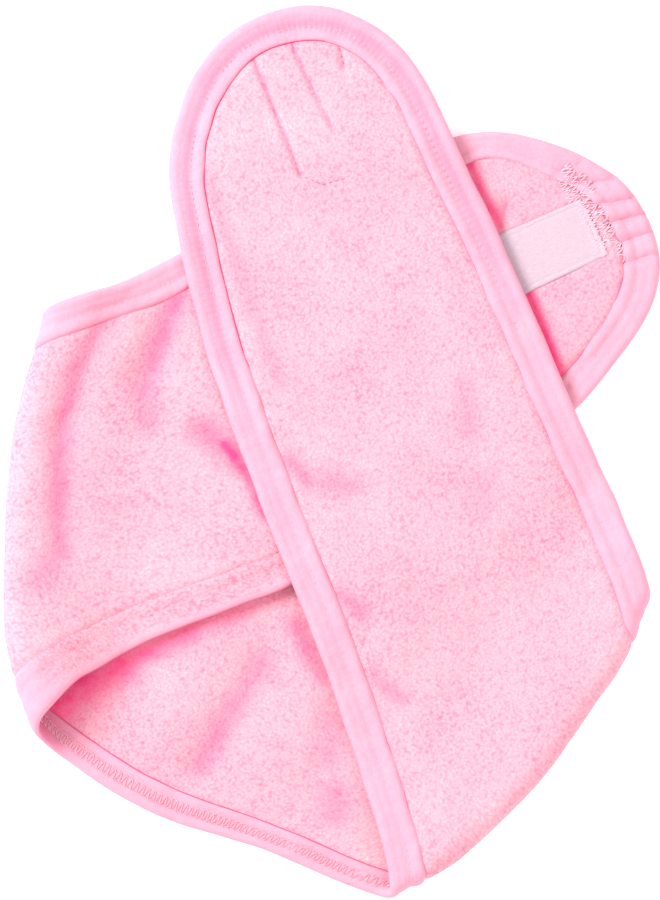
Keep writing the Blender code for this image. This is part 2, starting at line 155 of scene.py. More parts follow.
def pattern(s, v):
    """Plan place of a flat point before any fold."""
    turn = heading(s)
    x = np.interp(s, CENTRE_S, CENTRE_X) - v * np.sin(turn)
    y = np.interp(s, CENTRE_S, CENTRE_Y) + v * np.cos(turn)
    return x, y


def edge_line(side):
    """Dense points of one edge, in order of s."""
    turn = np.linspace(0.0, math.pi, 6000)
    s = LENGTH / 2.0 * (1.0 - np.cos(turn))
    return np.stack([s, side * half_width(s, side)], axis=1)


# ---- folds

def from_fold(x, y, fold):
    """The fold's plan direction, and how far out and along it a point is from its foot."""
    turn = math.radians(fold["normal"])
    nx, ny = math.cos(turn), math.sin(turn)
    dx, dy = x - fold["foot"][0], y - fold["foot"][1]
    return nx, ny, dx * nx + dy * ny, dy * nx - dx * ny


def turn_over(x, y, fold):
    """Plan place after the fold, and where the cloth is in the fold's roll."""
    nx, ny, out, along = from_fold(x, y, fold)
    share = np.clip((along + CREASE_REACH) / (2 * CREASE_REACH), 0.0, 1.0)
    radius = fold["radii"][0] + (fold["radii"][1] - fold["radii"][0]) * share
    draw = np.where(along < 0.0, fold["draws"][0], fold["draws"][1])
    crease = -draw * np.minimum(np.abs(along) / CREASE_REACH, CREASE_LIMIT) ** CREASE_POWER
    past = out - (crease - radius)
    angle = np.clip(past / radius, 0.0, math.pi)
    beyond = np.maximum(past - math.pi * radius, 0.0)
    out = crease - radius + np.minimum(past, 0.0) + radius * np.sin(angle) - beyond
    out = out - 2.0 * (crease + CREASE_EASE) * smooth(beyond / CREASE_FADE)
    roll = SimpleNamespace(along=along, radius=radius, past=past, angle=angle, beyond=beyond)
    return fold["foot"][0] + out * nx - along * ny, fold["foot"][1] + out * ny + along * nx, roll


def plan(s, v):
    """Plan place of a flat point after both folds, whether it lies under the first, and its two rolls."""
    x1, y1, first = turn_over(*pattern(s, v), FOLD_UNDER)
    x2, y2, second = turn_over(x1, y1, FOLD_OVER)
    under = first.beyond > 0.0
    snug = ramp(x2, *SNUG_ACROSS) * (SNUG + SNUG_ABOVE * ramp(y2, *SNUG_ALONG))
    x, y = np.where(under, x2 + snug, x1), np.where(under, y2, y1)
    nx, ny, out, along = from_fold(x, y, FOLD_UNDER)
    slack = SLACK_END * ramp(along, *SLACK_ALONG) * ramp(out, *SLACK_ACROSS)
    return x - slack * nx, y - slack * ny, under, first, second


def outline(first, last, inside):
    """Plan polygon of the strip between two distances, under the first fold and where inside() holds."""
    s = np.linspace(first, last, 160)
    sides = []
    for side in (-1, 1):
        x, y, under, _, second = plan(s, side * half_width(s, side))
        sides.append(np.stack([x, y], axis=1)[under & inside(second)][::-side])
    return np.concatenate(sides)


def nearest(points, a, b):
    """Distance from each point to the nearest of some line pieces."""
    edge = b - a
    size = np.maximum((edge ** 2).sum(-1), 1e-9)
    found = []
    for part in np.array_split(points, max(1, len(points) // 4000)):
        off = part[:, None, :] - a
        t = np.clip((off * edge).sum(-1) / size, 0.0, 1.0)
        found.append(np.sqrt(((off - t[..., None] * edge) ** 2).sum(-1).min(axis=1)))
    return np.concatenate(found)


def within(points, polygon):
    inside = np.zeros(len(points), bool)
    for a, b in zip(polygon, np.roll(polygon, -1, axis=0)):
        level = (a[1] > points[:, 1]) != (b[1] > points[:, 1])
        rise = b[1] - a[1] if b[1] != a[1] else 1e-9
        inside ^= level & (points[:, 0] < a[0] + (points[:, 1] - a[1]) * (b[0] - a[0]) / rise)
    return inside


def cover(x, y, polygon, drop):
    """1 over the polygon, falling to 0 over the length drop as cloth sinks beyond its edge."""
    points = np.stack([np.ravel(x), np.ravel(y)], axis=1)
    far = nearest(points, polygon, np.roll(polygon, -1, axis=0))
    far[within(points, polygon)] = 0.0
    return 1.0 - smooth((far - EDGE_CLEAR) / drop).reshape(np.shape(x))


BOTTOM_LAYER = outline(*BOTTOM_SPAN, lambda roll: roll.angle < 0.5 * math.pi)
MIDDLE_LAYER = outline(*MIDDLE_SPAN, lambda roll: roll.beyond > 0.0)


def fullness(roll, along):
    places, heights = zip(*roll)
    return np.interp(along, places, heights)


def middle_surface(s, v):
    """Place of the cloth's middle surface, folded but without wrinkles."""
    x, y, under, first, second = plan(s, v)
    low = TABLE_LEVEL + LAYER_STEP * cover(x, y, BOTTOM_LAYER, DROP)
    top = low + LAYER_STEP * cover(x, y, MIDDLE_LAYER, FLAP_DROP) + TIP_LIFT * (1.0 - ramp(s, *TIP_LIFT_FADE))
    near1 = 1.0 - smooth(-first.past / ROLL_FADE)
    near2 = 1.0 - smooth(second.beyond / ROLL_FADE)
    roll1 = TABLE_LEVEL + first.radius * (1.0 + np.cos(first.angle)) * fullness(FIRST_ROLL, first.along)
    roll2 = TABLE_LEVEL + second.radius * (1.0 - np.cos(second.angle)) * fullness(SECOND_ROLL, second.along)
    z_top = np.where(first.angle > 0.0, roll1, top + (roll1 - top) * near1)
    z_over = np.where(second.beyond > 0.0, low + (roll2 - low) * near2, roll2)
    return np.stack([x, y, np.where(under, z_over, z_top)], axis=-1)


# ---- folded cloth with its wrinkles

def soft_noise(a, b, size, seed):
    """Smooth noise from -1 to 1 over two coordinates, with features about size across."""
    values = np.random.default_rng(seed).uniform(-1.0, 1.0, (257, 257))
    x, y = np.asarray(a) / size + 64.0, np.asarray(b) / size + 64.0
    i, j = np.floor(x).astype(int), np.floor(y).astype(int)
    tx, ty = smooth(x - i), smooth(y - j)
    i0, i1, j0, j1 = i % 256, (i + 1) % 256, j % 256, (j + 1) % 256
    low = values[i0, j0] * (1 - tx) + values[i1, j0] * tx
    high = values[i0, j1] * (1 - tx) + values[i1, j1] * tx
    return low * (1 - ty) + high * ty


def furrow(s, v, start, end, width, height):
    """Soft ridge, or trough where height is negative, along a straight line on the strip."""
    ds, dv = end[0] - start[0], end[1] - start[1]
    t = np.clip(((s - start[0]) * ds + (v - start[1]) * dv) / (ds * ds + dv * dv), 0.0, 1.0)
    away = np.hypot(s - start[0] - t * ds, v - start[1] - t * dv)
    return height * bell(away / width)


# start and end on the strip, width and height over the outer face
FURROWS = (
    # two slack troughs beside the second fold
    ((470, 43), (453, 15), 6, -1.5), ((453, 15), (440, -20), 6, -1.5), ((490, 42), (478, 22), 6, -1.4),
    ((478, 22), (475, 6), 5.5, -1),
    # dent beside the closing flap
    ((486, -1), (492, -18), 4, -1.7), ((500, -22), (474, -40), 9, 0.6),
    # slack bottom layer, seen from its inner face
    ((333, -4), (337, -43), 6, 1.5), ((350, 10), (353, -40), 8, -1.2), ((310, -12), (304, -40), 6, 1.2),
    ((372, -10), (380, -44), 7, -1.2),
    # closing flap and the layer that follows it
    ((66, 26), (100, 34), 9, -0.8), ((133, -38), (147, -23), 5, -0.9), ((177, -37), (184, -33), 4, -0.8),
    ((204, -36), (212, -32), 4, -0.7), ((130, 21), (144, 17), 5, -0.6), ((160, 16), (166, 12), 6, -0.5),
    ((160, -20), (196, -26), 9, 0.6), ((182, 8), (206, 26), 10, 0.6), ((214, -40), (222, -12), 7, -0.7),
    # the closing flap's edge stands off the tab
    ((60, 50), (112, 52), 12, 0.7),
    # tab
    ((598, 24), (593, 19), 2.4, -1.4), ((590, -34), (598, -31), 3, -1.2), ((584, 30), (594, 24), 4, -0.8),
    # creases at the tab's tip, where the tape's end is tacked
    ((619, 22), (631, 17), 1.5, -1.3), ((623, 12), (633, 9), 1.3, -1.6), ((624, 5), (634, 3), 1.2, -1.5),
    ((624, -2), (634, -3), 1.2, -1.5), ((622, -8), (633, -10), 1.3, -1.4),
    ((618, 28), (625, 27), 1.6, -0.5), ((622, 8), (633, 6), 1.1, 0.7), ((623, 1), (634, 0), 1.1, 0.7),
)
TABLE_WAVES = (0.45, 30.0)  # height and size of the slow waves of the whole lay
CLOTH_WAVES = (0.3, 17.0)  # and of those that follow the strip
EDGE_WAVES = (0.32, 16.0)  # the bound edges wave a little on their own
EDGE_DEPTH = (6.0, 16.0)  # where, and how far in it reaches
BESIDE = 40.0  # a fixed v for noise that runs along one edge and not across it


def relief(s, v, x, y):
    """Wrinkles: height of the whole cloth over its plain folded place."""
    total = TABLE_WAVES[0] * soft_noise(x, y, TABLE_WAVES[1], SEED)
    total = total + CLOTH_WAVES[0] * soft_noise(s, v, CLOTH_WAVES[1], SEED + 1)
    for start, end, width, height in FURROWS:
        total = total + furrow(s, v, start, end, width, height)
    edge = bell((DEPTH_GRID - EDGE_DEPTH[0]) / EDGE_DEPTH[1])
    waves = soft_noise(s, np.where(v < 0.0, -BESIDE, BESIDE), EDGE_WAVES[1], SEED + 2)
    return total + EDGE_WAVES[0] * edge * waves


# place on an edge, reach along and inward, and how the edge curls from its plain place
CURLS = (
    ((415, -55), (11, 14), (1.1, 1.6, 0.6)),
    ((453, 56), (22, 18), (0.4, 2.8, 0)),
    ((277, -58), (14, 18), (-4, 0.6, 0)),
    ((214, 56), (14, 16), (-0.5, 1.8, 0)),
    ((622, 30), (17, 14), (-1, -2.2, 0)),
    ((609, -38), (20, 16), (-2.2, 1.1, 0)),
)

GRID_S = np.arange(-BEYOND + 0.5, LENGTH + BEYOND - 0.5, GRID_STEP)
GRID_V = np.arange(-GRID_HALF, GRID_HALF + GRID_STEP, GRID_STEP)
ON_S, ON_V = np.meshgrid(GRID_S, GRID_V, indexing="ij")


def depth_grid():
    """Distance inside the strip's edge, at every grid point."""
    line = np.concatenate([edge_line(-1)[::12], edge_line(1)[::-12]])
    points = np.stack([ON_S.ravel(), ON_V.ravel()], axis=1)
    far = nearest(points, line, np.roll(line, -1, axis=0))
    s, v = points.T
    inside = (v > -half_width(s, -1)) & (v < half_width(s, 1)) & (s > 0.0) & (s < LENGTH)
    return np.where(inside, far, -far).reshape(ON_S.shape)


def folded_grid():
    plain = middle_surface(ON_S, ON_V)
    along, across = np.gradient(plain, axis=0), np.gradient(plain, axis=1)
    normal = np.cross(along, across)
    normal /= np.linalg.norm(normal, axis=-1, keepdims=True)
    lifted = plain + relief(ON_S, ON_V, plain[..., 0], plain[..., 1])[..., None] * normal
    for (s, v), (reach_s, reach_v), move in CURLS:
        inward = np.maximum((ON_V - v) * (1.0 if v < 0.0 else -1.0), 0.0)
        share = bell((ON_S - s) / reach_s) * bell(inward / reach_v)
        lifted = lifted + share[..., None] * np.array(move)
    return lifted


DEPTH_GRID = depth_grid()
FOLDED = folded_grid()


def cubic(t):
    """Catmull-Rom weights of four neighbours, and their slopes."""
    t2, t3 = t * t, t * t * t
    value = (-0.5 * t3 + t2 - 0.5 * t, 1.5 * t3 - 2.5 * t2 + 1.0,
             -1.5 * t3 + 2.0 * t2 + 0.5 * t, 0.5 * (t3 - t2))
    slope = (-1.5 * t2 + 2.0 * t - 0.5, 4.5 * t2 - 5.0 * t,
             -4.5 * t2 + 4.0 * t + 0.5, 1.5 * t2 - t)
    return value, slope


def corner(s, v):
    x, y = (s - GRID_S[0]) / GRID_STEP, (v - GRID_V[0]) / GRID_STEP
    i = np.clip(np.floor(x).astype(int), 1, len(GRID_S) - 3)
    j = np.clip(np.floor(y).astype(int), 1, len(GRID_V) - 3)
    return i, j, x - i, y - j


def depth_at(s, v):
    i, j, x, y = corner(s, v)
    low = DEPTH_GRID[i, j] * (1 - x) + DEPTH_GRID[i + 1, j] * x
    high = DEPTH_GRID[i, j + 1] * (1 - x) + DEPTH_GRID[i + 1, j + 1] * x
    return low * (1 - y) + high * y


def place(s, v, w):
    """World place, in millimetres, of flat points at height w over the middle surface."""
    s, v, w = np.broadcast_arrays(s, v, w)
    i, j, x, y = corner(s, v)
    (vx, sx), (vy, sy) = cubic(x), cubic(y)
    at, along, across = 0.0, 0.0, 0.0
    for a in range(4):
        for b in range(4):
            point = FOLDED[i + a - 1, j + b - 1]
            at = at + (vx[a] * vy[b])[..., None] * point
            along = along + (sx[a] * vy[b])[..., None] * point
            across = across + (vx[a] * sy[b])[..., None] * point
    normal = np.cross(along, across)
    normal /= np.linalg.norm(normal, axis=-1, keepdims=True)
    return at + w[..., None] * normal


def joint_named(name):
    return next(joint for joint in frame["joints"] if joint["name"] == name)


def shift_to_frame():
    """From the pattern's own plan to the frame: the closing flap's hinge is the same point in both."""
    middle = (half_width(FLAP_HINGE, 1) - half_width(FLAP_HINGE, -1)) / 2.0
    x, y = plan(np.array([FLAP_HINGE]), np.array([middle]))[:2]
    hinge = joint_named("closing_flap_lift")["pos_m"]
    return np.array([hinge[0] / MM - x[0], hinge[1] / MM - y[0], 0.0])


SHIFT = shift_to_frame()


# ---- meshes

UV_SCALE = 0.01  # UV units for each millimetre
CRISP = math.radians(72.0)  # corners sharper than this are not smoothed over
INNER_FACE_AT = 200.0  # the inner face lies this far up in the UVs, beside the outer one


def add(name, data):
    made = bpy.data.objects.new(name, data)
    bpy.context.scene.collection.objects.link(made)
    return made


def set_inputs(node, values):
    for key, value in values.items():
        node.inputs[key].default_value = value


def mesh_piece(name, points, faces, material, flat=None):
    """A smooth mesh from points in millimetres; flat holds each point's place on the flat strip, for UVs."""
    points = points + SHIFT
    points[:, 2] = np.maximum(points[:, 2], REST_LEVEL)
    mesh = bpy.data.meshes.new(name)
    mesh.from_pydata((points * MM).tolist(), [], [face for part in faces for face in part.tolist()])
    mesh.validate()
    mesh.shade_smooth()
    if flat is not None:
        corners = np.concatenate([part.ravel() for part in faces])
        layer = mesh.uv_layers.new(name="flat")
        layer.data.foreach_set("uv", (flat[corners] * UV_SCALE).astype(np.float32).ravel())
    mesh.materials.append(material)
    return add(name, mesh)


def mark(piece, name, values):
    """A number for each point of a piece, which its material reads."""
    layer = piece.data.attributes.new(name, "FLOAT", "POINT")
    layer.data.foreach_set("value", np.ravel(values).astype(np.float32))


def lines(first, last, step):
    return np.linspace(first, last, int(math.ceil((last - first) / step)) + 1)


def slab(name, s_lines, v_lines, depth_of, edge, faces_at, material):
    """Closed slab over the grid cells deeper than edge, and the flat places of its outer points.

    faces_at gives the heights of its two faces.
    """
    s, v = np.meshgrid(s_lines, v_lines, indexing="ij")
    kept = depth_of(*((part[:-1, :-1] + part[1:, 1:]) / 2.0 for part in (s, v))) > edge
    padded = np.pad(kept, 1)
    used = padded[:-1, :-1] | padded[1:, :-1] | padded[:-1, 1:] | padded[1:, 1:]
    count = used.sum()
    index = -np.ones(s.shape, int)
    index[used] = np.arange(count)
    flat = np.stack([s[used], v[used]], axis=1)
    points = np.concatenate([place(*flat.T, height) for height in faces_at(*flat.T)])
    i, j = np.nonzero(kept)
    quad = np.stack([index[i, j], index[i + 1, j], index[i + 1, j + 1], index[i, j + 1]], axis=1)
    walls = []
    for di, dj, a, b in ((-1, 0, (0, 1), (0, 0)), (1, 0, (1, 0), (1, 1)),
                         (0, -1, (0, 0), (1, 0)), (0, 1, (1, 1), (0, 1))):
        open_side = kept & ~padded[1 + di:1 + di + kept.shape[0], 1 + dj:1 + dj + kept.shape[1]]
        i, j = np.nonzero(open_side)
        first, second = index[i + a[0], j + a[1]], index[i + b[0], j + b[1]]
        walls.append(np.stack([first, second, second + count, first + count], axis=1)[:, ::-1])
    faces = np.concatenate([quad, quad[:, ::-1] + count] + walls)
    both = np.concatenate([flat, flat + (0.0, INNER_FACE_AT)])
    return mesh_piece(name, points, [faces], material, both), flat


# ---- seams and tapes, drawn flat

STITCH = 2.0  # pitch of every seam
NEEDLE_ROWS = (3.8, 7.0)  # depths of the binding's two needle rows
THREAD_RADIUS = 0.14
LOOPER_RADIUS = 0.13
NEEDLE_LEVEL = 1.3  # height of the needle rows' stitches on the outer face
LOOPER_LEVEL = -1.68  # and of the zigzag on the inner face
FLAP_TAPE = dict(start=13.0, end=56.0, low=-9.5, high=19.0)
TAB_TAPE = dict(start=578.0, end=LENGTH - 15.5, low=-4.0, high=16.0)
SEAM_INSET = 1.5
SEAM_CORNER = 4.0
MIDDLE_ROW = 5.2  # v of the row along the middle of the closing flap's tape
ROW_STEP = 0.6


def along_path(line):
    return np.concatenate([[0.0], np.cumsum(np.linalg.norm(np.diff(line, axis=0), axis=1))])


def follow(t, lengths, columns):
    """Values at t of columns that are given at the lengths."""
    return np.stack([np.interp(t, lengths, column) for column in columns.T], axis=-1)


def resample(line, step):
    lengths = along_path(line)
    return follow(lines(0.0, lengths[-1], step), lengths, line)


def rounded_ring(patch, inset, radius):
    """Points round a rectangle with rounded corners."""
    first, last = patch["start"] + inset + radius, patch["end"] - inset - radius
    low, high = patch["low"] + inset + radius, patch["high"] - inset - radius
    points = []
    for s, v, turn in ((last, high, 0.0), (first, high, 90.0), (first, low, 180.0), (last, low, 270.0)):
        angle = np.radians(turn + np.linspace(0.0, 90.0, 12))
        points.append(np.stack([s + radius * np.cos(angle), v + radius * np.sin(angle)], axis=1))
    return resample(np.concatenate(points + [points[0][:1]]), ROW_STEP)


def row(*corners):
    return resample(np.array(corners), ROW_STEP)


FLAP_RING = rounded_ring(FLAP_TAPE, SEAM_INSET, SEAM_CORNER)
FLAP_ROWS = (  # the closing flap's seam as it shows on the outer face, and how deep each row pulls
    (row((11, -8.2), (51, -6.6)), 0.95),
    (row((10.5, MIDDLE_ROW - 0.8), (27, MIDDLE_ROW + 0.7), (42, MIDDLE_ROW + 2.6)), 0.9),
    (row((10.5, 18.6), (24, 17.4)), 0.8),
    (row((24, 17.4), (40, 15.2)), 0.4),
    (row((51, -6.6), (56, -1.0), (56.5, 7.0)), 0.35),
)
TAB_CREASE = row((623, -11), (606, -33))
TAB_SEAM = rounded_ring(TAB_TAPE, SEAM_INSET, 1.0)


def groove(s, v, line, width):
    """1 along a flat line, falling to 0 beside it."""
    return bell(nearest(np.stack([s, v], axis=1), line[:-1], line[1:]) / width)


def patch_depth(s, v, patch):
    """Distance inside a tape's edges, negative outside."""
    along = np.minimum(s - patch["start"], patch["end"] - s)
    return np.minimum(along, np.minimum(v - patch["low"], patch["high"] - v))


# ---- terry

BINDING_SHARE = 0.955  # of its full width, once it is sewn down
PINCHED = (602.0, 14.0)  # caught narrower here, above the white tape
PINCH = 0.22  # by this much
TAUT = ((402.0, 20.0), (540.0, -25.0))  # start and reach at both ends
TERRY_EDGE = 5.0  # how deep in the binding the terry ends
GRID_SIDE = 68.0  # beyond the strip's widest part
PUFF = (0.35, 20.0, 5.0)  # height, place and reach of the pile that stands up beside the binding
TUCK = (0.3, 13.0, 5.0)  # and of the small puckers where it is sewn in
TUCK_SIZE = 5.5
OUTER_RISE = (10.5, 2.9)  # depth and reach over which the terry rises out of the binding's lip
OUTER_RISE_TAUT = 1.3  # how much shorter it is where the edge is taut
INNER_RISE = (9.7, 2.4)
FLAP_TAPE_SHOWS = 0.15  # the tape under the flap's tip swells the face over it
FLAP_TAPE_BED = 0.5  # how deep the tapes press the pile, and the tab's crease and seam
TAB_TAPE_BED = 0.8
TAB_CREASE_DEPTH = 0.7
TAB_SEAM_DEPTH = 0.6


def binding_share(s, v):
    """How much of its full width the binding has."""
    return BINDING_SHARE - PINCH * bump(s, *PINCHED) * smooth(v / 20.0)


def taut(s, v):
    """1 where the lower edge is stretched over the second fold: its binding lies level with the terry."""
    return ramp(s, *TAUT[0]) * ramp(s, *TAUT[1]) * smooth(-v / 20.0)


def pile(s, v, seed):
    """Uneven height of the loops."""
    return 0.03 * soft_noise(s, v, 2.8, seed) + 0.06 * soft_noise(s, v, 1.2, seed + 1)


def terry_faces(s, v):
    """Heights of the terry's outer and inner face."""
    depth = depth_at(s, v)
    drawn = depth / binding_share(s, v)
    uneven = soft_noise(s, np.where(v < 0.0, -BESIDE, BESIDE), TUCK_SIZE, SEED + 5)
    body = PUFF[0] * bump(depth, *PUFF[1:]) + TUCK[0] * bump(depth, *TUCK[1:]) * uneven
    under_flap, on_tab = patch_depth(s, v, FLAP_TAPE), patch_depth(s, v, TAB_TAPE)
    outer = TERRY_OUTER + body + pile(s, v, SEED + 10)
    outer = outer + FLAP_TAPE_SHOWS * smooth(under_flap / 6.0) - TAB_TAPE_BED * ramp(on_tab, -0.6, 1.5)
    for line, pull in FLAP_ROWS:
        outer = outer - pull * groove(s, v, line, 0.8)
    outer = outer - TAB_CREASE_DEPTH * groove(s, v, TAB_CREASE, 0.9)
    inner = TERRY_INNER + body + pile(s, v, SEED + 20)
    inner = inner - FLAP_TAPE_BED * smooth(under_flap / 1.5) - TAB_SEAM_DEPTH * groove(s, v, TAB_SEAM, 0.9)
    outer_rise = ramp(drawn, OUTER_RISE[0], OUTER_RISE[1] - OUTER_RISE_TAUT * taut(s, v))
    outer = CLAMPED_HALF + (outer - CLAMPED_HALF) * outer_rise
    inner = CLAMPED_HALF + (inner - CLAMPED_HALF) * ramp(drawn, *INNER_RISE)
    return outer, -inner


# painted shade on the strip, in creases and troughs, along the shadows of raised edges, in the second fold's
# cavity and along seam rows: a start, then points with the width of the stretch up to each, and how deep the
# painted shade is in it, from 0 to 1
PAINTED_SHADE_LINES = (
    ((470, 44), (460, 32, 4.4, 0.5), (453, 15, 4.8, 0.62), (445, -5, 5, 0.62), (439, -21, 5, 0.56)),
    ((437, -22), (429, -26, 5.5, 0.38)),
    ((491, 43), (484, 31, 5, 0.66), (477, 17, 4.6, 0.58), (475, 6, 4.2, 0.4)),
    ((487, -2), (491, -12, 5.2, 0.6)), ((490.5, -8), (491.5, -17, 3, 1), (491, -32, 2.1, 0.85)),
    ((387, -54), (382, -40, 8.5, 1), (372, -27, 7, 0.95), (356, -8, 4.6, 0.75), (343, 6, 3.6, 0.6),
     (335, 14, 3, 0.4)),
    ((328, 7), (317, -3, 3.4, 0.6)),
    ((333, -8), (335, -22, 4.4, 0.5), (337, -44, 4.8, 0.52)), ((310, -14), (306, -26, 5, 0.36)),
    ((301, -33), (297, -41, 5, 0.45)), ((133, -39), (141, -36, 3.2, 0.5)),
    ((141, -34), (148, -21, 4.4, 0.32)), ((177, -38), (184, -34, 3.8, 0.48)),
    ((204, -37), (212, -32, 4, 0.4)), ((129, 20), (143, 17, 4.2, 0.28)), ((160, 16), (166, 12, 5.5, 0.24)),
    ((592.8, 42), (592.2, 18, 2.3, 0.8)), ((591.8, -4), (590, -42, 2.3, 0.95)),
    ((598, 24), (593, 19, 1.6, 0.6)),
    ((620.3, -13), (613, -23.6, 0.9, 0.95), (603.8, -31.8, 1, 0.8), (592.5, -39.8, 1.2, 0.5)),
    ((12, -8.2), (51, -6.6, 0.7, 0.55)), ((11.5, 4.5), (27, 5.9, 0.7, 0.5), (42, 7.8, 0.7, 0.32)),
    ((11.5, 18.5), (24, 17.4, 0.7, 0.4)), ((30, -34), (110, -34, 3, 0.3)), ((214, -40), (236, -44, 4, 0.2)),
)
SHADE_EDGE = 1.2  # above 1, the painted shade ends more sharply
TAB_DEEPER_COLOUR = (575.0, 15.0)  # the tab's colour is a little deeper all over, from this start over this reach


def terry_painted_shade(s, v):
    """How much painted shade the terry's colour gets, from 0 to 1."""
    total = 0.0
    for crease in PAINTED_SHADE_LINES:
        for start, (*end, width, amount) in zip(crease, crease[1:]):
            total = np.maximum(total, furrow(s, v, start, end, width, amount))
    uneven = 0.95 + 0.16 * soft_noise(s, v, 4.0, SEED + 80) + 0.12 * soft_noise(s, v, 1.6, SEED + 81)
    return np.clip(total ** SHADE_EDGE * uneven + 0.06 * ramp(s, *TAB_DEEPER_COLOUR), 0.0, 1.0)


def terry_half(name, first, last, step, material):
    s_lines, v_lines = lines(first, last, step), lines(-GRID_SIDE, GRID_SIDE, step)
    piece, flat = slab(name, s_lines, v_lines, depth_at, TERRY_EDGE, terry_faces, material)
    # painted shade, which the terry's colour reads
    mark(piece, "painted_shade", np.tile(terry_painted_shade(*flat.T), 2))
    piece.data.set_sharp_from_angle(angle=CRISP)
    return piece


# ---- binding

BINDING_STEP = 0.6
OUTER_LEG = (  # depth from the edge, height over the middle surface
    (11.2, 0.72), (11.8, 0.9), (11.75, 1.1), (11.5, 1.3), (11.2, 1.6), (10.9, 1.84), (10.4, 2.0),
    (9.8, 2.05), (9.0, 1.98), (8.3, 1.78), (7.7, 1.52), (7.2, 1.36), (6.7, 1.34), (6.1, 1.42), (5.4, 1.5),
    (4.8, 1.52), (4.3, 1.5), (3.8, 1.48), (3.3, 1.55), (2.6, 1.66), (1.9, 1.66), (1.2, 1.5), (0.65, 1.18),
    (0.25, 0.72), (0.0, 0.0),
)
OUTER_FOOT = 11.6  # beyond this depth the lip's foot is in its own shade
INNER_LEG = (
    (0.25, -0.72), (0.65, -1.15), (1.2, -1.42), (1.9, -1.55), (2.7, -1.52), (3.3, -1.42), (3.8, -1.34),
    (4.3, -1.42), (4.9, -1.5), (5.5, -1.52), (6.1, -1.5), (6.7, -1.42), (7.2, -1.34), (7.8, -1.45),
    (8.4, -1.6), (9.0, -1.66), (9.6, -1.62), (10.0, -1.45), (10.3, -1.2), (10.5, -0.95), (10.0, -0.72),
)
INNER_FOOT = 10.2
EVEN_END = 12.0  # length beside the split over which the binding's waves come in
LIP_WAVES = (0.3, 7.0)  # how far the lip and the rim stray, and over what length
RIM_WAVES = (0.22, 9.0)
TAUT_FLATTER = 0.16  # how much flatter the lip is where the edge is taut
CAVITY = ((7.0, -0.72), (1.0, -0.68), (0.75, 0.0), (1.0, 0.68), (7.0, 0.72))


def edge_path(half):
    """The edge round one half, from the split along the lower edge and back along the upper one."""
    turn = -1 if half == "flap" else 1
    low, high = (line[(line[:, 0] - SPLIT) * turn >= 0.0][::turn] for line in (edge_line(-1), edge_line(1)))
    low_end, high_end = ([[SPLIT, side * half_width(SPLIT, side)]] for side in (-1, 1))
    line = resample(np.concatenate([low_end, low, high[::-1][1:], high_end]), BINDING_STEP)
    run = np.gradient(line, axis=0)
    run[[0, -1]] = run[[1, -2]] * (1.0, 0.0)
    for _ in range(3):
        run[1:-1] = (run[:-2] + 2.0 * run[1:-1] + run[2:]) / 4.0
    run /= np.linalg.norm(run, axis=1, keepdims=True)
    return line, np.stack([-run[:, 1], run[:, 0]], axis=1) * turn


LOOSE_STITCH = 0.25  # how much stitches pull along the straight edges, against 1 round the flap's tip
TIGHT_END = (70.0, 60.0)


def drawn_tight(s):
    """1 round the closing flap's tip, where the stitches pull most."""
    return LOOSE_STITCH + (1.0 - LOOSE_STITCH) * (1.0 - ramp(s, *TIGHT_END))


def needle_dimples(t, s, depth):
    """How far the cloth is pulled in at the needle holes."""
    total = 0.0
    at_hole = 0.5 + 0.5 * np.cos(2.0 * math.pi * t / STITCH)
    for needle, reach, pull in zip(NEEDLE_ROWS, (0.9, 1.4), (0.2, 0.45)):
        total = total + pull * bump(depth, needle, reach) * at_hole
    return total * drawn_tight(s)


def binding_painted_shade(s, v, depth, height, skin):
    """How much painted shade the binding's colour gets: between the needles, at the lip's foot, along the
    taut edge's rim and in the second fold.
    """
    level = taut(s, v)
    between = bump(depth, 5.3, 1.9) * (height > 0.0) * 0.4 * (drawn_tight(s) - 0.2)
    deep_foot = OUTER_FOOT - 0.35 * (drawn_tight(s) > 0.6) * (v < 20.0)
    foot = (1.0 - level) * np.where(height > 0.0, depth > deep_foot, (depth > INNER_FOOT) & skin)
    under = level * np.where(height > 0.0, 0.45, 1.0) * (np.abs(height) < 0.8) * (depth < 0.4)
    recess = 0.75 * bump(s, 394.0, 15.0) * (v < 0.0) * (height < 0.0)
    return np.maximum(np.maximum(between, np.maximum(foot, under)), recess)


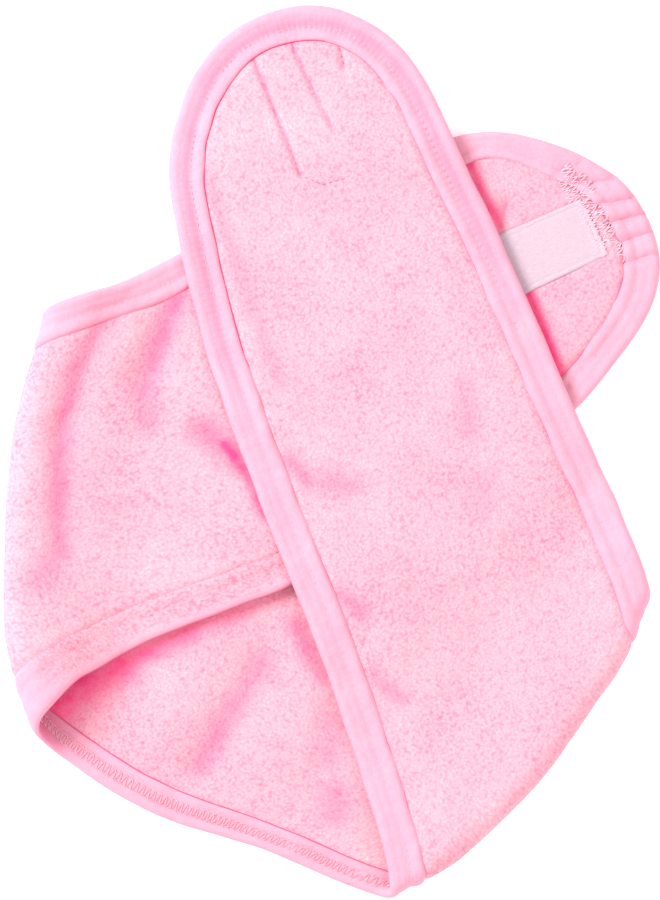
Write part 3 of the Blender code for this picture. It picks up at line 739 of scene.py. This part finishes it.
def binding_half(name, half, material):
    """The folded knit tape round one half: one closed section carried along the edge."""
    line, inward = edge_path(half)
    t = along_path(line)[:, None]
    section = np.array(OUTER_LEG + INNER_LEG + CAVITY)
    depth, height = section[None, :, 0], section[None, :, 1]
    turn = -1 if half == "flap" else 1
    seed = SEED + 35 + 5 * turn
    fade = smooth(np.minimum(t, t[-1] - t) / EVEN_END)
    skin = np.abs(height) > 0.8
    swell = 0.09 * soft_noise(t, depth, 5.0, seed) + 0.07 * soft_noise(t, depth, 2.2, seed + 1)
    lip = LIP_WAVES[0] * fade * soft_noise(t, 0.0 * t, LIP_WAVES[1], seed + 2) * ramp(depth, 9.0, 3.0)
    rim = RIM_WAVES[0] * fade * soft_noise(t, 0.0 * t, RIM_WAVES[1], seed + 3) * ramp(depth, 3.0, -3.0)
    at_s, at_v = line[:, 0, None], line[:, 1, None]
    thick = (1.0 + fade * swell) * (1.0 - TAUT_FLATTER * taut(at_s, at_v) * ramp(depth, 7.0, 2.0))
    tall = np.where(skin, height * thick - np.sign(height) * needle_dimples(t, at_s, depth), height)
    deep = (depth + lip + rim) * binding_share(at_s, at_v)
    s, v = at_s + inward[:, 0, None] * deep, at_v + inward[:, 1, None] * deep
    points = place(s, v, tall)
    index = np.arange(s.size).reshape(s.shape)
    following = np.roll(index, -1, axis=1)
    quads = np.stack([index[:-1], following[:-1], following[1:], index[1:]], axis=-1)
    quads = quads.reshape(-1, 4)[:, ::-turn]
    caps = [index[0][None, ::turn], index[-1][None, ::-turn]]
    flat = np.stack(np.broadcast_arrays(t, along_path(section)), axis=-1)
    piece = mesh_piece(name, points.reshape(-1, 3), [quads] + caps, material, flat.reshape(-1, 2))
    # painted shade, which the binding's colour reads
    mark(piece, "painted_shade", binding_painted_shade(at_s, at_v, depth, height, skin))
    mark(piece, "brushed", taut(at_s, at_v) * (height > 0.0) * ramp(depth, 1.0, 3.0))
    piece.data.set_sharp_from_angle(angle=CRISP)
    return piece


# ---- thread

THREAD_SIDES = 5
THREAD_END = 0.45  # of the thread's thickness, where it goes into the cloth


def laid_thread(flat, radius=THREAD_RADIUS):
    """Points and faces of round threads through flat points, an array of rows of (s, v, w)."""
    s, v, w = np.moveaxis(flat, -1, 0)
    centres = place(s, v, w)
    ups = place(s, v, w + 0.5) - centres
    run = np.gradient(centres, axis=1)
    run /= np.linalg.norm(run, axis=-1, keepdims=True)
    across = np.cross(run, ups)
    across /= np.linalg.norm(across, axis=-1, keepdims=True)
    up = np.cross(across, run)
    angle = 2.0 * math.pi * np.arange(THREAD_SIDES) / THREAD_SIDES
    thick = np.full(centres.shape[1], radius)
    thick[[0, -1]] *= THREAD_END
    ring = up[:, :, None] * np.cos(angle)[:, None] + across[:, :, None] * np.sin(angle)[:, None]
    points = centres[:, :, None] + ring * thick[None, :, None, None]
    index = np.arange(points[..., 0].size).reshape(points.shape[:-1])
    following = np.roll(index, -1, axis=2)
    quads = np.stack([index[:, :-1], index[:, 1:], following[:, 1:], following[:, :-1]], axis=-1)
    return points.reshape(-1, 3), [quads.reshape(-1, 4), index[:, 0], index[:, -1, ::-1]]


def swing(t, pitch):
    """A zigzag from 0 to 1 and back in each pitch."""
    return 2.0 * np.abs((t / pitch) % 1.0 - 0.5)


def raised(flat, w):
    """Flat points with their heights."""
    return np.concatenate([flat, np.broadcast_to(w, flat.shape[:-1])[..., None]], axis=-1)


def dashes(line, offset, face, sink=0.32, share=0.78, phase=0.5):
    """Running stitches along a flat line: each rises from its needle hole and goes back in at the next."""
    lengths = along_path(line)
    starts = np.arange(phase * STITCH, lengths[-1] - STITCH, STITCH)
    u = np.linspace(0.0, 1.0, 6)
    at = starts[:, None] + STITCH * (0.5 - share / 2.0 + share * u)
    return raised(follow(at, lengths, line), offset + np.sign(face) * sink * (np.sin(math.pi * u) - 1.0))


def thread_piece(name, threads, material):
    """One piece from several laid threads."""
    points, faces, base = [], [], 0
    for part_points, part_faces in threads:
        points.append(part_points)
        faces += [np.asarray(face) + base for face in part_faces]
        base += len(part_points)
    return mesh_piece(name, np.concatenate(points), faces, material)


def binding_seam(name, half, material):
    """Two needle rows on both faces, and the looper thread that crosses between them on the inner face."""
    line, inward = edge_path(half)
    share = binding_share(line[:, :1], line[:, 1:])
    needles = [line + inward * needle * share for needle in NEEDLE_ROWS]
    parts = [laid_thread(dashes(needle, NEEDLE_LEVEL, 1.0, share=0.5, phase=0.0)) for needle in needles]
    low, high = NEEDLE_ROWS
    lengths = along_path(line)
    t = np.arange(0.4, lengths[-1] - 0.4, STITCH / 8.0)
    depth = (low - 0.3 + (high - low + 0.6) * smooth(swing(t, STITCH)))[:, None] * follow(t, lengths, share)
    looper = follow(t, lengths, line) + follow(t, lengths, inward) * depth
    w = LOOPER_LEVEL + 0.12 * np.cos(4.0 * math.pi * t / STITCH)
    parts.append(laid_thread(raised(looper, w)[None], LOOPER_RADIUS))
    parts += [laid_thread(dashes(needle, -1.6, -1.0)) for needle in needles]
    return thread_piece(name, parts, material)


# ---- tapes

TAPE_RIB = 0.9  # pitch of the white tape's ribs


def tape_patch(name, patch, faces_at, step, material):
    s_lines, v_lines = lines(patch["start"], patch["end"], step), lines(patch["low"], patch["high"], step)
    return slab(name, s_lines, v_lines, lambda s, v: patch_depth(s, v, patch), 0.0, faces_at, material)[0]


def tab_tape_faces(s, v):
    """The white tape: a flat weave with firm selvages, drawn down along its seam."""
    inside = patch_depth(s, v, TAB_TAPE)
    top = 1.75 + 0.3 * smooth(inside / 0.8) + 0.12 * bump(inside, 0.9, 0.5)
    top = top - 0.18 * groove(s, v, TAB_SEAM, 0.6)
    top = top + 0.035 * np.cos(2.0 * math.pi * v / TAPE_RIB) * ramp(inside, 1.8, 0.5)
    return top, np.full_like(s, 0.95)


def flap_tape_faces(s, v):
    """The loop tape on the inner face: a soft nap, drawn in along its seam and its middle row."""
    low = 1.55 + 0.45 * smooth(patch_depth(s, v, FLAP_TAPE) / 0.8) + 0.12 * soft_noise(s, v, 1.4, SEED + 60)
    for line in (FLAP_RING, FLAP_ROWS[1][0]):
        low = low - 0.35 * groove(s, v, line, 0.7)
    return np.full_like(s, -0.9), -low


TANGLE = (0.45, 1.1)  # how far the tack's threads stray, and over what length


def zigzag(start, end, width, pitch, w):
    """A zigzag row between two flat points."""
    run = np.subtract(end, start)
    length = np.linalg.norm(run)
    run /= length
    across = np.array([-run[1], run[0]])
    t = np.arange(0.0, length, pitch / 8.0)
    flat = start + t[:, None] * run + (width * (swing(t, pitch) - 0.5))[:, None] * across
    uneven = np.stack([soft_noise(t, 0.0 * t, TANGLE[1], SEED + part) for part in (70, 71)], axis=1)
    return raised(flat + TANGLE[0] * uneven, w)[None]


TACK_RADIUS = 0.18
# dense zigzag over the white tape's end and the binding beside it: start, end, width, pitch and height
TACK_ROWS = (
    ((616.4, -2), (617.4, 15.5), 2.4, 1.15, 1.92),
    ((618.4, -3.5), (619.4, 15.5), 2.4, 1.15, 1.92),
    ((616.6, 16.5), (617.2, 26), 2.4, 1.2, 1.78),
    ((618.8, 16.5), (619.6, 28), 2.4, 1.2, 1.8),
    ((620.8, -5.5), (621.6, 28.5), 2.4, 1.15, 1.82),
    ((622.9, -6.5), (623.9, 24), 2.3, 1.2, 1.9),
)


def tape_seam(name, rows, material):
    """Running stitches of a tape's seam on both faces: rows hold a line, an offset and a face."""
    return thread_piece(name, [laid_thread(dashes(*row)) for row in rows], material)


# ---- materials

def linear(red, green, blue):
    """Linear colour from screen values of 0 to 255."""
    return tuple((channel / 255.0) ** 2.2 for channel in (red, green, blue)) + (1.0,)


class Shader:
    """A Principled material and short names for adding its nodes."""

    def __init__(self, name, roughness, sheen, sheen_tint, specular=0.25):
        self.material = bpy.data.materials.new(name)
        self.material.use_nodes = True
        self.tree = self.material.node_tree
        self.main = self.tree.nodes["Principled BSDF"]
        set_inputs(self.main, {
            "Roughness": roughness, "Metallic": 0.0, "Specular IOR Level": specular, "Sheen Weight": sheen,
            "Sheen Roughness": 0.45, "Sheen Tint": sheen_tint})

    def node(self, kind, inputs=(), **settings):
        made = self.tree.nodes.new(kind)
        for key, value in settings.items():
            setattr(made, key, value)
        for key, value in dict(inputs).items():
            if isinstance(value, bpy.types.NodeSocket):
                self.tree.links.new(value, made.inputs[key])
            else:
                made.inputs[key].default_value = value
        return made

    def flat(self, size, stretch=(1.0, 1.0, 1.0)):
        """Inputs of a texture laid on the flat strip, with features about size millimetres across."""
        uv = self.node("ShaderNodeUVMap", uv_map="flat").outputs["UV"]
        mapping = self.node("ShaderNodeMapping", {"Vector": uv, "Scale": stretch})
        return {"Vector": mapping.outputs["Vector"], "Scale": 1.0 / (UV_SCALE * size)}

    def noise(self, size, detail=3.0, rough=0.55, stretch=(1.0, 1.0, 1.0)):
        inputs = {**self.flat(size, stretch), "Detail": detail, "Roughness": rough}
        return self.node("ShaderNodeTexNoise", inputs).outputs["Fac"]

    def cells(self, size):
        inputs = {**self.flat(size), "Randomness": 1.0}
        return self.node("ShaderNodeTexVoronoi", inputs, feature="SMOOTH_F1").outputs["Distance"]

    def math(self, operation, a, b=0.0):
        return self.node("ShaderNodeMath", {0: a, 1: b}, operation=operation).outputs[0]

    def weighted(self, *parts):
        """Sum of (value, weight) pairs."""
        total = 0.0
        for value, weight in parts:
            total = self.math("ADD", total, self.math("MULTIPLY", value, weight))
        return total

    def loops(self, fibres):
        """Height of small tufts with their fibres."""
        return self.weighted((self.math("SUBTRACT", 0.8, self.cells(0.75)), 0.9), (fibres, 0.7))

    def attribute(self, name):
        return self.node("ShaderNodeAttribute", attribute_name=name).outputs["Fac"]

    def ramp(self, factor, *stops):
        """Colour for a factor; each stop has a position and a screen colour."""
        made = self.node("ShaderNodeValToRGB", {"Fac": factor})
        elements = made.color_ramp.elements
        while len(elements) < len(stops):
            elements.new(0.5)
        for element, (position, *colour) in zip(elements, stops):
            element.position, element.color = position, linear(*colour)
        return made.outputs["Color"]

    def mix(self, factor, a, b):
        """From colour a to colour b: the node's colours are its inputs 6 and 7, and its output 2."""
        return self.node("ShaderNodeMix", {0: factor, 6: a, 7: b}, data_type="RGBA").outputs[2]

    def finish(self, colour, height, distance, strength):
        self.tree.links.new(colour, self.main.inputs["Base Color"])
        raise_by = {"Height": height, "Distance": distance * MM, "Strength": strength}
        bumps = self.node("ShaderNodeBump", raise_by)
        self.tree.links.new(bumps.outputs["Normal"], self.main.inputs["Normal"])
        return self.material


# deep between the loops to pale on their tips: the deeper colour low between the loops is painted shade
PILE_COLOURS = ((0.34, 218, 130, 156), (0.54, 232, 165, 180), (0.72, 237, 180, 191), (0.92, 246, 210, 214))


def terry_material():
    """Looped pile: small tufts, fibres, and broad patches where the pile lies another way."""
    shader = Shader("terry_pile", 0.95, 0.35, linear(255, 205, 225), specular=0.12)
    fibres = shader.noise(0.45, detail=4.0, rough=0.7)
    clumps = shader.noise(2.2)
    patches = shader.noise(24.0)
    height = shader.weighted((shader.loops(fibres), 1.0), (clumps, 0.15))
    colour = shader.ramp(shader.weighted((height, 0.55), (patches, 0.34)), *PILE_COLOURS)
    # painted shade: the colour goes to deep pink as far as the attribute read here says
    colour = shader.mix(shader.attribute("painted_shade"), colour, linear(248, 78, 136))
    return shader.finish(colour, height, 0.4, 0.5)


def binding_material():
    """Fine knit tape, with its wales along the edge."""
    shader = Shader("binding_knit", 0.82, 0.25, linear(255, 215, 232), specular=0.2)
    wales = shader.noise(0.9, stretch=(0.35, 2.2, 1.0))
    courses = shader.noise(1.1, detail=2.0, stretch=(2.0, 0.6, 1.0))
    fuzz = shader.noise(0.4)
    patches = shader.noise(14.0)
    height = shader.weighted((wales, 0.6), (courses, 0.4), (fuzz, 0.4))
    colour = shader.ramp(shader.weighted((height, 0.45), (patches, 0.4)),
                         (0.25, 226, 148, 171), (0.5, 234, 165, 185), (0.75, 240, 181, 197))
    brushed, loops = shader.attribute("brushed"), shader.loops(fuzz)
    pile_colour = shader.ramp(shader.weighted((loops, 0.55), (patches, 0.34)), *PILE_COLOURS)
    colour = shader.mix(brushed, colour, pile_colour)
    height = shader.math("ADD", height, shader.math("MULTIPLY", brushed, loops))
    # painted shade: the colour goes to deep mauve pink as far as the attribute read here says
    colour = shader.mix(shader.attribute("painted_shade"), colour, linear(214, 84, 132))
    return shader.finish(colour, height, 0.3, 0.7)


def white_tape_material():
    """White touch tape: a fine dense nap between ribs."""
    shader = Shader("white_tape_weave", 0.7, 0.15, (1.0, 0.97, 0.99, 1.0), specular=0.3)
    ribs = shader.noise(0.9, detail=2.0, stretch=(0.4, 2.6, 1.0))
    nap = shader.noise(0.45, detail=4.0, rough=0.7)
    height = shader.weighted((ribs, 0.5), (nap, 0.6))
    colour = shader.ramp(height, (0.3, 190, 168, 180), (0.6, 204, 184, 195), (0.85, 218, 202, 210))
    return shader.finish(colour, height, 0.25, 0.7)


def loop_tape_material():
    """Brushed loop tape in the band's colour."""
    shader = Shader("loop_tape_nap", 0.9, 0.3, linear(255, 214, 230), specular=0.15)
    nap = shader.noise(0.7, detail=5.0, rough=0.75)
    patches = shader.noise(4.0, detail=2.0)
    height = shader.weighted((nap, 0.9), (patches, 0.3))
    colour = shader.ramp(height, (0.35, 232, 150, 182), (0.7, 250, 190, 214))
    return shader.finish(colour, height, 0.45, 0.8)


TWISTS = 2500.0  # of a thread's twist, in a metre


def thread_material(name, dark, light):
    """Polyester sewing thread with a fine twist."""
    shader = Shader(name, 0.55, 0.1, (1.0, 0.9, 0.95, 1.0), specular=0.35)
    where = shader.node("ShaderNodeTexCoord").outputs["Object"]
    inputs = {"Vector": where, "Scale": TWISTS, "Detail": 2.0}
    twist = shader.node("ShaderNodeTexNoise", inputs).outputs["Fac"]
    colour = shader.ramp(twist, (0.3, *dark), (0.7, *light))
    return shader.finish(colour, twist, 0.06, 0.6)


# ---- pieces

terry = terry_material()
binding = binding_material()
white_tape = white_tape_material()
loop_tape = loop_tape_material()
pink_thread = thread_material("pink_thread", (234, 168, 186), (244, 194, 206))
deep_thread = thread_material("deep_pink_thread", (178, 96, 132), (212, 132, 164))
tape_thread = thread_material("tape_thread", (200, 182, 192), (222, 206, 214))
white_thread = thread_material("white_thread", (228, 180, 199), (241, 210, 221))

terry_flap_side = terry_half("terry_flap_side", 0.0, SPLIT, 0.75, terry)
terry_tab_side = terry_half("terry_tab_side", SPLIT, LENGTH, 0.92, terry)
binding_flap_side = binding_half("binding_flap_side", "flap", binding)
binding_tab_side = binding_half("binding_tab_side", "tab", binding)
seam_flap_side = binding_seam("binding_seam_flap_side", "flap", pink_thread)
seam_tab_side = binding_seam("binding_seam_tab_side", "tab", pink_thread)
white_closure_tape = tape_patch("white_closure_tape", TAB_TAPE, tab_tape_faces, 0.4, white_tape)
loop_closure_tape = tape_patch("loop_closure_tape", FLAP_TAPE, flap_tape_faces, 0.5, loop_tape)
white_tape_seam = tape_seam("white_tape_seam", ((TAB_SEAM, 1.84, 1.0), (TAB_SEAM, -1.25, -1.0)), tape_thread)
loop_tape_seam = tape_seam("loop_tape_seam", tuple(
    (line, TERRY_OUTER - pull + 0.16, 1.0) for line, pull in FLAP_ROWS) + (
    (FLAP_RING, -1.95, -1.0), (FLAP_ROWS[1][0], -1.95, -1.0)), deep_thread)
tack_threads = [laid_thread(zigzag(*ends), TACK_RADIUS) for ends in TACK_ROWS]
tip_tack = thread_piece("tip_tack", tack_threads, white_thread)

# ---- pieces baked in place, and the imported parts they stand for hidden


for piece in (terry_flap_side, binding_flap_side, seam_flap_side, loop_closure_tape, loop_tape_seam):
    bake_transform(piece)
for piece in (terry_tab_side, binding_tab_side, seam_tab_side, white_closure_tape, white_tape_seam, tip_tack):
    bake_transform(piece)

for piece, slot, *nodes in (  # what each piece is made of and the nodes it stands for
        (terry_flap_side, "terry", "terry_band", "terry_closing_flap"),
        (terry_tab_side, "terry", "terry_tab_end"),
        (binding_flap_side, "binding", "binding_closing_flap", "binding_upper_edge"),
        (binding_tab_side, "binding", "binding_tab_end", "binding_lower_edge"),
        (seam_flap_side, "thread"), (seam_tab_side, "thread"),
        (white_closure_tape, "hook_tape", "tab_closure_tape"),
        (white_tape_seam, "thread", "tab_tape_stitching"),
        (loop_closure_tape, "loop_tape", "flap_closure_tape"),
        (loop_tape_seam, "thread", "flap_tape_stitching"),
        (tip_tack, "thread", "tab_bar_tack")):
    if nodes:
        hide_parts(*nodes)


for piece, under, half in ((binding_flap_side, "terry_flap_side", "flap"),
                           (binding_tab_side, "terry_tab_side", "tab")):
    length = along_path(edge_path(half)[0])[-1]

# ---- floor, light and camera

VIEW_HEIGHT = 279.0  # millimetres of the table in view, along the longer side
CAMERA_UP = 1.9  # metres
FLOOR_REACH = 12.0
SENSOR = 36.0


def floor():
    mesh = bpy.data.meshes.new("floor")
    corners = ((-1, -1), (1, -1), (1, 1), (-1, 1))
    mesh.from_pydata([(x * FLOOR_REACH, y * FLOOR_REACH, 0.0) for x, y in corners], [], [(0, 1, 2, 3)])
    material = bpy.data.materials.new("pale_floor")
    material.use_nodes = True
    set_inputs(material.node_tree.nodes["Principled BSDF"], {
        "Base Color": (0.93, 0.93, 0.935, 1.0), "Roughness": 0.9, "Specular IOR Level": 0.1,
        "Emission Color": (1.0, 1.0, 1.0, 1.0), "Emission Strength": 0.3})
    mesh.materials.append(material)
    add("floor", mesh)


def lamp(name, place_at, size, power):
    """A round soft light that faces the middle of the table."""
    data = bpy.data.lights.new(name, "AREA")
    data.shape, data.size, data.energy = "DISK", size, power
    light = add(name, data)
    light.location = x, y, z = place_at
    light.rotation_euler = (math.atan2(math.hypot(x, y), z), 0.0, math.atan2(x, -y))


def studio():
    scene = bpy.context.scene
    world = bpy.data.worlds.new("studio")
    world.use_nodes = True
    set_inputs(world.node_tree.nodes["Background"], {"Color": (1.0, 0.9, 0.94, 1.0), "Strength": 0.92})
    scene.world = world
    lamp("key", (-1.0, 0.55, 0.95), 0.6, 22.0)
    lamp("fill", (0.9, -0.6, 1.2), 1.2, 6.0)
    scene.view_settings.view_transform = "Standard"


def camera():
    data = bpy.data.cameras.new("camera")
    data.sensor_width = SENSOR
    data.lens = SENSOR * CAMERA_UP / (VIEW_HEIGHT * MM)
    data.clip_end = 50.0
    eye = add("camera", data)
    eye.location = (SHIFT[0] * MM, SHIFT[1] * MM, CAMERA_UP)
    bpy.context.scene.camera = eye


floor()
studio()
camera()
